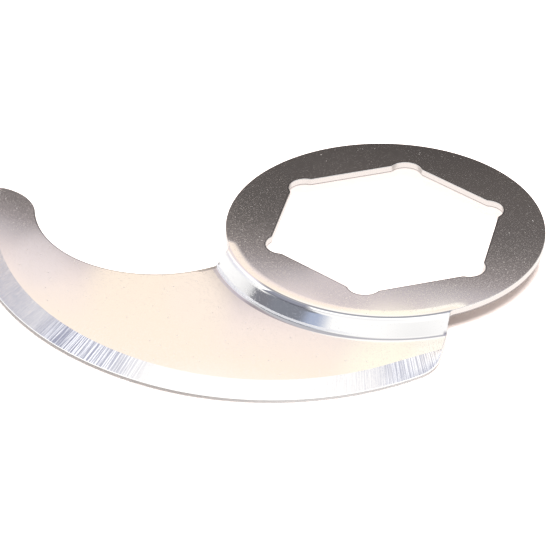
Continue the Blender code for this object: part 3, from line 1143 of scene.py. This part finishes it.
# %% Cards in the tent
GLOW = 1.5
WALL_CARDS = [
    (285, 5, 20, 42, 1.0, (0.42, 0.42, 0.43)),
    (350, 8, 15, 32, 1.0, (0.45, 0.45, 0.46)),
    (20, 22, 14, 30, 1.0, (0.47, 0.47, 0.475)),
]
FLAT_CARDS = [
    (108, 36, 3.5, 6, 1.0, (0.93, 0.82, 0.705)),
    (91, 36.5, 1.2, 3.3, 1.0, (0.56, 0.51, 0.53)),
    (87, 42.5, 1.5, 4.5, 1.0, (0.98, 0.94, 0.80)),
    (82, 40.5, 1, 2.8, 0.8, (1.0, 0.985, 0.90)),
    (98, 28, 2, 6, 0.5, (0.075, 0.068, 0.066)),
    (98.5, 33, 2, 4.5, 0.3, (0.12, 0.11, 0.105)),
    (104, 36, 1, 3, 0.5, (0.92, 0.82, 0.75)),
    (115, 26.5, 2, 5, 0.2, (0.11, 0.10, 0.10)),
    (117, 31.3, 1, 2.4, 0.55, (0.77, 0.71, 0.73)),
]
SLOPE_CARDS = [
    (149, 5, 9, 15, 1.0, (0.75, 0.75, 0.75)),
    (146, 34, 8, 13, 1.0, (0.43, 0.44, 0.53)),
    (45, 58, 8, 11, 1.0, (0.5, 0.52, 0.62)),
    (180, 72, 4, 10, 1.0, (0.50, 0.50, 0.51)),
    (214, 39, 6, 16, 1.0, (0.285, 0.325, 0.43)),
    (184, 26, 4, 8, 1.0, (0.15, 0.15, 0.17)),
    (193, 28, 6, 10, 1.0, (0.15, 0.15, 0.17)),
    (199, 43, 12, 17, 1.0, (0.155, 0.163, 0.19)),
    (230, 83, 8, 18, 1.0, (0.66, 0.66, 0.665)),
]

cards = WALL_CARDS + FLAT_CARDS + SLOPE_CARDS
for azimuth, elevation, inner, outer, share, colour in cards:
    patch = nearness(bench, way, azimuth, elevation, inner, outer)
    cloth = mix(bench, patch * share, cloth, colour)
glow = bench.node("ShaderNodeEmission", {}, {"Color": cloth, "Strength": direct(bench) * GLOW})
bench.node("ShaderNodeOutputMaterial", {}, {"Surface": glow})
print("cards in the tent:", len(cards))

# %% [markdown]
# ## The floor
#
# The floor is a plain pale sheet that lies just under the blade. It has to be white in the picture and
# still keep a soft warm shadow under the ring. More light would bleach the blade, so the light stays
# and the camera sees the floor in a lighter colour than the blade does. A faint glow, which only camera
# and glossy rays see, lifts it further: a warm pool inside and behind the ring, and a cooler one
# further out, where no shadow falls.

# %% Lay the floor
FLOOR_GAP = 1.35 * MM
FLOOR_SIZE = 6.0

bpy.ops.object.select_all(action="DESELECT")
bpy.ops.mesh.primitive_plane_add(
    size=FLOOR_SIZE, location=(0, 0, -STEP_DROP - FLOOR_GAP), rotation=(0, 0, CAMERA_AZIMUTH)
)
floor = bpy.context.object
floor.name = "floor"
print("floor", round(FLOOR_GAP / MM, 2), "mm under the blade")

# %% Paint the floor
CAMERA_RAY, GLOSSY_RAY = 0, 3
FLOOR_UNSEEN, FLOOR_SEEN = (0.85, 0.80, 0.78), (2.15, 1.90, 1.80)
POOL_FRONT = -12 * MM
POOL_EDGE, POOL_FULL = 120 * MM, 50 * MM
FAR_FROM, FAR_FULL = 55 * MM, 65 * MM
LEFT_FROM, LEFT_FULL = -20 * MM, -60 * MM
POOL_GLOW, FAR_GLOW, LEFT_LOSS = 0.75, 0.40, 0.20
MIRRORED_GLOW, MIRRORED_FAR = 0.6, 0.5
WARM_GLOW, COOL_GLOW = (1.0, 0.92, 0.88), (0.90, 0.97, 1.0)

floor_paint = bpy.data.materials.new("floor")
floor.data.materials.append(floor_paint)
bench = Workbench(floor_paint)
seen = bench.node("ShaderNodeLightPath", {}, {}, output=CAMERA_RAY)
glossed = bench.node("ShaderNodeLightPath", {}, {}, output=GLOSSY_RAY)
warm = mix(bench, seen, FLOOR_UNSEEN, FLOOR_SEEN)
matt = bench.node("ShaderNodeBsdfDiffuse", {}, {"Color": warm})
spot = place(bench)
from_ring = distance(bench, spot, HUB)
pool = fade(bench, axis(bench, spot, 1), POOL_FRONT, 0.0) * fade(bench, from_ring, POOL_EDGE, POOL_FULL)
left = fade(bench, axis(bench, spot, 0), LEFT_FROM, LEFT_FULL)
beyond = fade(bench, from_ring, FAR_FROM, FAR_FULL)
in_view = pool * POOL_GLOW + beyond * (FAR_GLOW - left * LEFT_LOSS)
mirrored = glossed * direct(bench) * (beyond * MIRRORED_FAR + MIRRORED_GLOW)
shine = {"Color": mix(bench, beyond, WARM_GLOW, COOL_GLOW), "Strength": seen * in_view + mirrored}
both = {0: matt, 1: bench.node("ShaderNodeEmission", {}, shine)}
both = bench.node("ShaderNodeAddShader", {}, both)
bench.node("ShaderNodeOutputMaterial", {}, {"Surface": both})
bench.report()

# %% [markdown]
# ## Sky and softbox
#
# The metal takes its look from the tent, so lamps only have to light the floor and throw the shadow.
# The sky gives an even low light from all sides, and is plain white to the camera. One round softbox,
# high at the front, throws the soft shadow that shows under the ring's right side. Neither is seen by
# glossy rays. A smaller lamp would give the shadow a hard edge.

# %% Sky
SKY_GREY = (0.9, 0.9, 0.9, 1)
SKY_WHITE = (1, 1, 1, 1)
SKY_STRENGTH = 0.25

world = bpy.data.worlds.new("studio")
bpy.context.scene.world = world
world.cycles_visibility.glossy = False
bench = Workbench(world)
seen = bench.node("ShaderNodeLightPath", {}, {}, output=CAMERA_RAY)
sky = bench.node("ShaderNodeBackground", {}, {"Color": SKY_GREY, "Strength": SKY_STRENGTH})
white = bench.node("ShaderNodeBackground", {}, {"Color": SKY_WHITE, "Strength": 1.0})
both = bench.node("ShaderNodeMixShader", {}, {0: seen, 1: sky, 2: white})
bench.node("ShaderNodeOutputWorld", {}, {"Surface": both})
bench.report()

# %% Softbox
SOFTBOX_WIDTH = 400 * MM
SOFTBOX_AWAY = 800 * MM
SOFTBOX_ENERGY = 5.0
SOFTBOX_AZIMUTH, SOFTBOX_ELEVATION = -76, 66

softbox_data = bpy.data.lights.new("softbox", "AREA")
softbox_data.shape = "DISK"
softbox_data.size = SOFTBOX_WIDTH
softbox_data.energy = SOFTBOX_ENERGY
softbox = bpy.data.objects.new("softbox", softbox_data)
softbox_way = swing @ Vector(toward(SOFTBOX_AZIMUTH, SOFTBOX_ELEVATION))
softbox.location = softbox_way * SOFTBOX_AWAY
softbox.rotation_euler = softbox_way.to_track_quat("Z", "Y").to_euler()
softbox.visible_glossy = False
bpy.context.scene.collection.objects.link(softbox)
print("softbox at", [round(value / MM) for value in softbox.location], "mm")

# %% [markdown]
# ## Colour output
#
# Standard view transform shows each colour as it is written.

# %% Output
bpy.context.scene.view_settings.view_transform = "Standard"
